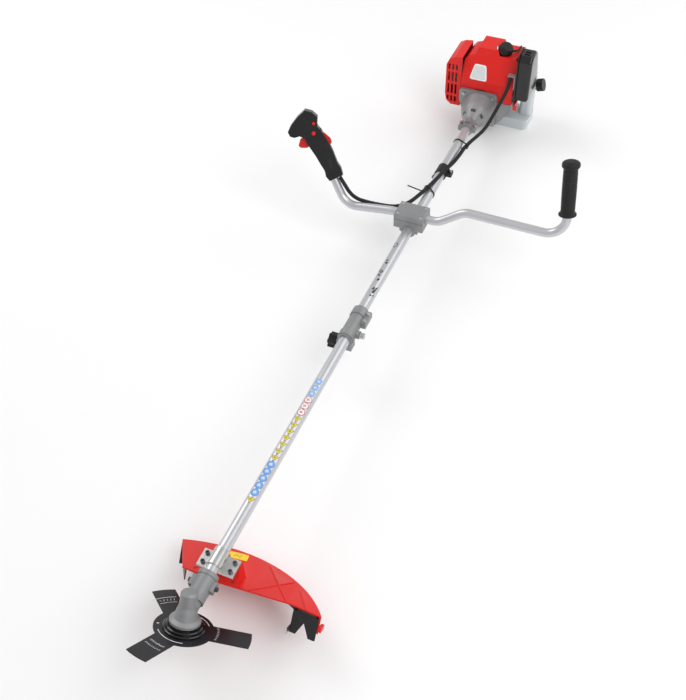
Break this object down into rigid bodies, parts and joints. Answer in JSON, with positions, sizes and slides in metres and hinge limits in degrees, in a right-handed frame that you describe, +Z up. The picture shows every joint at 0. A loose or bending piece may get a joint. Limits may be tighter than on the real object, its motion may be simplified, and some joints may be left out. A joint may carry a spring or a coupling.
{
  "type": "brush cutter",
  "caption": "Petrol brush cutter: two-piece straight shaft, toothed disc blade under a guard, wide bent handlebar with throttle grip, harness eye, shrouded engine.",
  "frame": {"origin": "centre of the whole machine's bounding box, on the floor it lies on", "axes": "+X along the shaft from the blade to the engine, +Y to the throttle grip's side, +Z up; the shaft slopes down 3 degrees towards the engine, resting on guard skirt and fuel tank"},
  "size_m": [1.996, 0.7532, 0.3837],
  "materials": {
    "cast_aluminium": "cast, bead blasted",
    "tube_aluminium": "anodised, satin",
    "blade_steel": "black enamel, satin",
    "holder_black": "black, glossy",
    "bright_steel": "zinc plated",
    "dark_steel": "oiled",
    "gear_steel": "machined, oiled",
    "red_plastic": "moulded, semi gloss",
    "red_trigger": "moulded, satin",
    "black_plastic": "moulded, fine grain",
    "gloss_black": "moulded, glossy",
    "black_rubber": "matt",
    "loom_black": "corrugated sleeve",
    "tank_plastic": "translucent, blow moulded",
    "white_ceramic": "glazed",
    "bushing": "plain",
    "rope": "braided"
  },
  "bodies": {
    "machine": {"cable_ties": "loom_black", "carburettor": "cast_aluminium", "clamp_screws": "bright_steel", "clutch_housing": "cast_aluminium", "control_loom": "loom_black", "coupler_body": "cast_aluminium", "crankcase": "cast_aluminium", "cylinder": "cast_aluminium", "engine_screws": "bright_steel", "engine_shroud": "red_plastic", "filter_base": "gloss_black", "filter_cover": "gloss_black", "fuel_tank": "tank_plastic", "gear_head_housing": "cast_aluminium", "guard": "red_plastic", "guard_bracket": "bright_steel", "guard_skirt": "black_plastic", "handle_clamp_lower": "cast_aluminium", "handle_clamp_upper": "cast_aluminium", "handlebar": "tube_aluminium", "harness_clamp": "black_plastic", "head_screws": "dark_steel", "line_cutter": "bright_steel", "lock_pin_spring": "bright_steel", "lower_tube": "tube_aluminium", "muffler": "dark_steel", "muffler_guard": "red_plastic", "plug_boot": "black_rubber", "recoil_housing": "black_plastic", "rubber_grip": "black_rubber", "shaft_bushings": "bushing", "spark_plug": "white_ceramic", "starter_rope": "rope", "throttle_grip_left": "black_plastic", "throttle_grip_right": "black_plastic", "upper_tube": "tube_aluminium"},
    "blade_spindle": {"output_shaft": "gear_steel", "bevel_gear": "gear_steel", "blade_holder": "holder_black", "blade": "blade_steel", "blade_flange": "holder_black", "blade_nut": "bright_steel"},
    "drive_line": {"bevel_pinion": "gear_steel", "lower_drive_shaft": "gear_steel", "upper_drive_shaft": "gear_steel", "clutch_drum": "dark_steel"},
    "crank": {"crankshaft": "gear_steel", "flywheel": "cast_aluminium", "clutch_shoes": "gear_steel"},
    "trigger": {"throttle_trigger": "red_trigger"},
    "lockout": {"trigger_lockout": "red_trigger"},
    "carb_lever": {"carb_throttle_lever": "bright_steel"},
    "stop_button": {"stop_switch": "red_trigger"},
    "lock_button": {"throttle_lock_button": "red_trigger"},
    "knob": {"coupler_knob": "black_plastic"},
    "pin": {"lock_pin": "bright_steel"},
    "cap": {"fuel_cap": "black_plastic"},
    "choke": {"choke_lever": "red_trigger"},
    "pull_handle": {"starter_handle": "black_plastic"},
    "pulley": {"starter_pulley": "bushing"}
  },
  "joints": [
    {"name": "blade_spin", "type": "hinge", "parent": "machine", "child": "blade_spindle", "pos_m": [-0.87619, 0.02436, 0.18488], "axis": [0.5878, 0, 0.809], "continuous": true},
    {"name": "drive_spin", "type": "hinge", "parent": "machine", "child": "drive_line", "pos_m": [-0.87619, 0.02436, 0.18488], "axis": [0.9986, 0, -0.0523], "continuous": true},
    {"name": "crank_spin", "type": "hinge", "parent": "machine", "child": "crank", "pos_m": [0.89338, 0.02436, 0.09214], "axis": [0.9986, 0, -0.0523], "continuous": true},
    {"name": "trigger_squeeze", "type": "hinge", "parent": "machine", "child": "trigger", "pos_m": [0.33336, 0.32356, 0.29223], "axis": [-0.797, -0.3571, 0.487], "range_deg": [0, 12], "stiffness_Nm_per_rad": 1, "springref_deg": -8.59},
    {"name": "lockout_press", "type": "hinge", "parent": "machine", "child": "lockout", "pos_m": [0.35265, 0.29418, 0.30227], "axis": [0.797, 0.3571, -0.487], "range_deg": [0, 6], "stiffness_Nm_per_rad": 1, "springref_deg": -8.59},
    {"name": "carb_lever_turn", "type": "hinge", "parent": "machine", "child": "carb_lever", "pos_m": [0.92138, -0.06364, 0.18681], "axis": [0.0523, 0, 0.9986], "range_deg": [-36, 0]},
    {"name": "stop_press", "type": "slide", "parent": "machine", "child": "stop_button", "axis": [0.797, 0.3571, -0.487], "range_m": [0, 0.0018], "stiffness_N_per_m": 800, "springref_m": -0.001},
    {"name": "throttle_lock_press", "type": "slide", "parent": "machine", "child": "lock_button", "axis": [0.797, 0.3571, -0.487], "range_m": [0, 0.0016], "stiffness_N_per_m": 800, "springref_m": -0.001},
    {"name": "knob_turn", "type": "hinge", "parent": "machine", "child": "knob", "pos_m": [-0.12568, 0.04836, 0.11751], "axis": [0, 1, 0], "range_deg": [0, 720]},
    {"name": "pin_pull", "type": "slide", "parent": "machine", "child": "pin", "axis": [0, -1, 0], "range_m": [0, 0.006], "stiffness_N_per_m": 900, "springref_m": -0.004, "deforming": ["lock_pin_spring"]},
    {"name": "cap_turn", "type": "hinge", "parent": "machine", "child": "cap", "pos_m": [0.9708, -0.09964, 0.11712], "axis": [0.0162, -0.9511, 0.3086], "range_deg": [0, 360]},
    {"name": "choke_turn", "type": "hinge", "parent": "machine", "child": "choke", "pos_m": [0.8672, -0.07864, 0.12756], "axis": [0, 1, 0], "range_deg": [-40, 0]},
    {"name": "starter_pull", "type": "slide", "parent": "machine", "child": "pull_handle", "axis": [0.0523, 0, 0.9986], "range_m": [0, 0.7], "stiffness_N_per_m": 20, "springref_m": -0.25, "deforming": ["starter_rope"]},
    {"name": "pulley_turn", "type": "hinge", "parent": "machine", "child": "pulley", "pos_m": [0.96628, 0.02436, 0.08832], "axis": [0.9986, 0, -0.0523], "range_deg": [0, 2060]}
  ],
  "couplings": [
    {"joint": "drive_spin", "follows": "blade_spin", "ratio": -1.3846},
    {"joint": "carb_lever_turn", "follows": "trigger_squeeze", "ratio": -3},
    {"joint": "pulley_turn", "follows": "starter_pull", "rad_per_m": 50.633}
  ]
}
